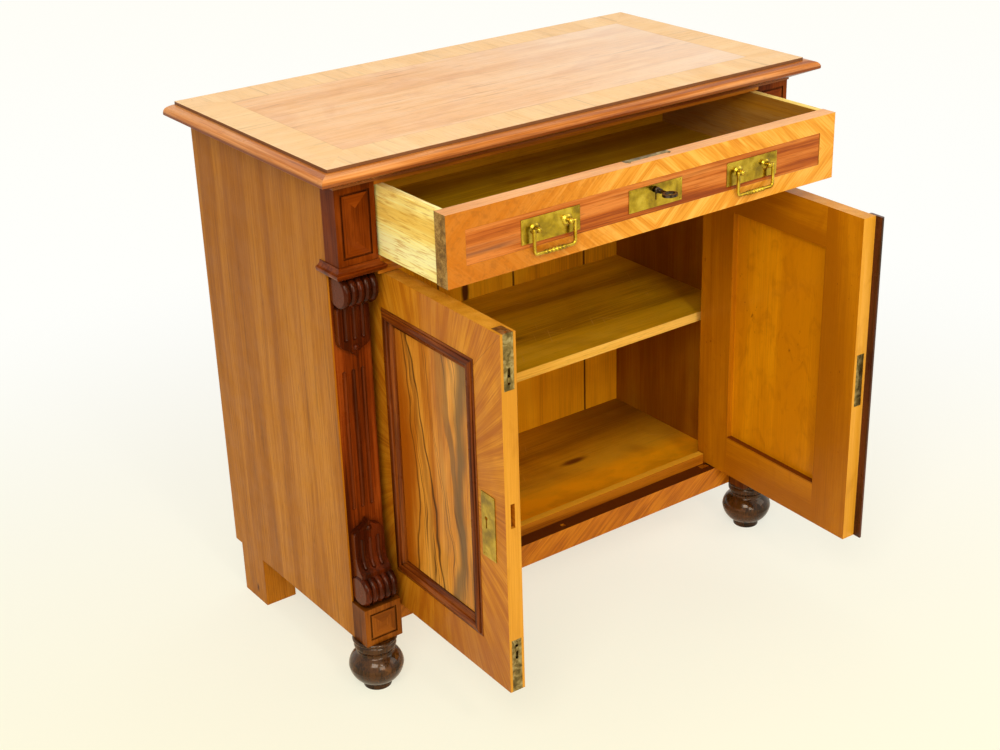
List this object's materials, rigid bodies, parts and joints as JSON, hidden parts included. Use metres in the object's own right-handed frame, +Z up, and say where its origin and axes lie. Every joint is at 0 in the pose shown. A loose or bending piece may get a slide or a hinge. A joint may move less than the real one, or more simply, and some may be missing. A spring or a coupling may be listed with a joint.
{
  "type": "low cabinet",
  "caption": "Low wooden cabinet with a drawer over two panelled doors, fluted corner pilasters with reeded scroll corbels, ball feet in front and square feet behind.",
  "frame": {"origin": "on the floor, under the middle of the whole object with its drawer and doors open", "axes": "+X along the front to the right, +Y to the back, +Z up; the front faces -Y"},
  "size_m": [1.011, 0.7925, 0.936],
  "materials": {
    "side_wood": "satin, vertical grain",
    "top_veneer": "polished, pale centre with a cross-banded border",
    "top_moulding_wood": "polished",
    "block_veneer": "polished, figured",
    "capital_wood": "polished",
    "carved_mahogany": "high polish",
    "ball_foot_black": "high polish, near black",
    "drawer_veneer": "polished, crossed banding",
    "door_veneer": "polished, diagonal grain",
    "panel_veneer": "polished, boldly figured",
    "moulding_wood": "polished",
    "astragal_maroon": "polished",
    "raw_pine": "raw, sawn",
    "inside_pine": "aged, unpolished",
    "brass": "lightly tarnished",
    "grey_steel": "worn",
    "key_iron": "dark, handled"
  },
  "bodies": {
    "root": {"apron_rail": "door_veneer", "back_boards": "inside_pine", "ball_feet": "ball_foot_black", "bottom_board": "inside_pine", "case_hinge_plates": "brass", "door_stop_lip": "raw_pine", "drawer_rail": "door_veneer", "drawer_runners": "inside_pine", "left_base_block": "block_veneer", "left_capital": "capital_wood", "left_corner_post": "inside_pine", "left_lower_corbel": "carved_mahogany", "left_pilaster": "carved_mahogany", "left_side_panel": "side_wood", "left_upper_block": "block_veneer", "left_upper_corbel": "carved_mahogany", "rear_feet": "side_wood", "right_base_block": "block_veneer", "right_capital": "capital_wood", "right_corner_post": "inside_pine", "right_lower_corbel": "carved_mahogany", "right_pilaster": "carved_mahogany", "right_side_panel": "side_wood", "right_upper_block": "block_veneer", "right_upper_corbel": "carved_mahogany", "shelf": "inside_pine", "shelf_bearers": "inside_pine", "top_board": "top_moulding_wood", "top_moulding": "top_moulding_wood", "top_panel": "top_veneer", "top_rail": "block_veneer"},
    "drawer": {"drawer_front": "drawer_veneer", "left_drawer_side": "raw_pine", "right_drawer_side": "raw_pine", "drawer_back": "raw_pine", "drawer_bottom": "inside_pine", "drawer_escutcheon": "brass", "drawer_lock": "grey_steel", "drawer_handle_plates": "brass"},
    "lock_bolt": {"drawer_bolt": "grey_steel"},
    "key": {"drawer_key": "key_iron"},
    "left_handle": {"left_bail": "brass"},
    "right_handle": {"right_bail": "brass"},
    "left_door": {"left_door_bolt_plates": "grey_steel", "left_door_escutcheon": "brass", "left_door_frame": "door_veneer", "left_door_hinge_plates": "brass", "left_door_moulding": "moulding_wood", "left_door_panel": "panel_veneer"},
    "top_flush_bolt": {"left_door_top_bolt": "grey_steel"},
    "bottom_flush_bolt": {"left_door_bottom_bolt": "grey_steel"},
    "right_door": {"right_door_astragal": "astragal_maroon", "right_door_escutcheon": "brass", "right_door_frame": "door_veneer", "right_door_hinge_plates": "brass", "right_door_lock": "grey_steel", "right_door_moulding": "moulding_wood", "right_door_panel": "panel_veneer"},
    "door_lock_bolt": {"right_door_lock_bolt": "grey_steel"}
  },
  "joints": [
    {"name": "drawer_slide", "type": "slide", "parent": "root", "child": "drawer", "axis": [0, -1, 0], "range_m": [-0.183, 0.12]},
    {"name": "key_turn", "type": "hinge", "parent": "drawer", "child": "key", "pos_m": [0, -0.23971, 0.842], "axis": [0, -1, 0], "range_deg": [0, 90]},
    {"name": "lock_bolt_slide", "type": "slide", "parent": "drawer", "child": "lock_bolt", "axis": [0, 0, 1], "range_m": [0, 0.006]},
    {"name": "left_handle_swing", "type": "hinge", "parent": "drawer", "child": "left_handle", "pos_m": [-0.205, -0.27141, 0.834], "axis": [-1, 0, 0], "range_deg": [0, 85]},
    {"name": "right_handle_swing", "type": "hinge", "parent": "drawer", "child": "right_handle", "pos_m": [0.205, -0.27141, 0.834], "axis": [-1, 0, 0], "range_deg": [0, 85]},
    {"name": "left_door_hinge", "type": "hinge", "parent": "root", "child": "left_door", "pos_m": [-0.363, -0.01921, 0.444], "axis": [0, 0, 1], "range_deg": [-6, 91]},
    {"name": "right_door_hinge", "type": "hinge", "parent": "root", "child": "right_door", "pos_m": [0.363, -0.01921, 0.444], "axis": [0, 0, -1], "range_deg": [-8.6, 88.4]},
    {"name": "top_flush_bolt_slide", "type": "slide", "parent": "left_door", "child": "top_flush_bolt", "axis": [0, 0, 1], "range_m": [0, 0.01]},
    {"name": "bottom_flush_bolt_slide", "type": "slide", "parent": "left_door", "child": "bottom_flush_bolt", "axis": [0, 0, -1], "range_m": [0, 0.01]},
    {"name": "door_lock_bolt_slide", "type": "slide", "parent": "right_door", "child": "door_lock_bolt", "axis": [-0.0279, -0.9996, 0], "range_m": [0, 0.007]}
  ],
  "couplings": [
    {"joint": "key_turn", "follows": "lock_bolt_slide", "rad_per_m": 261.79}
  ]
}
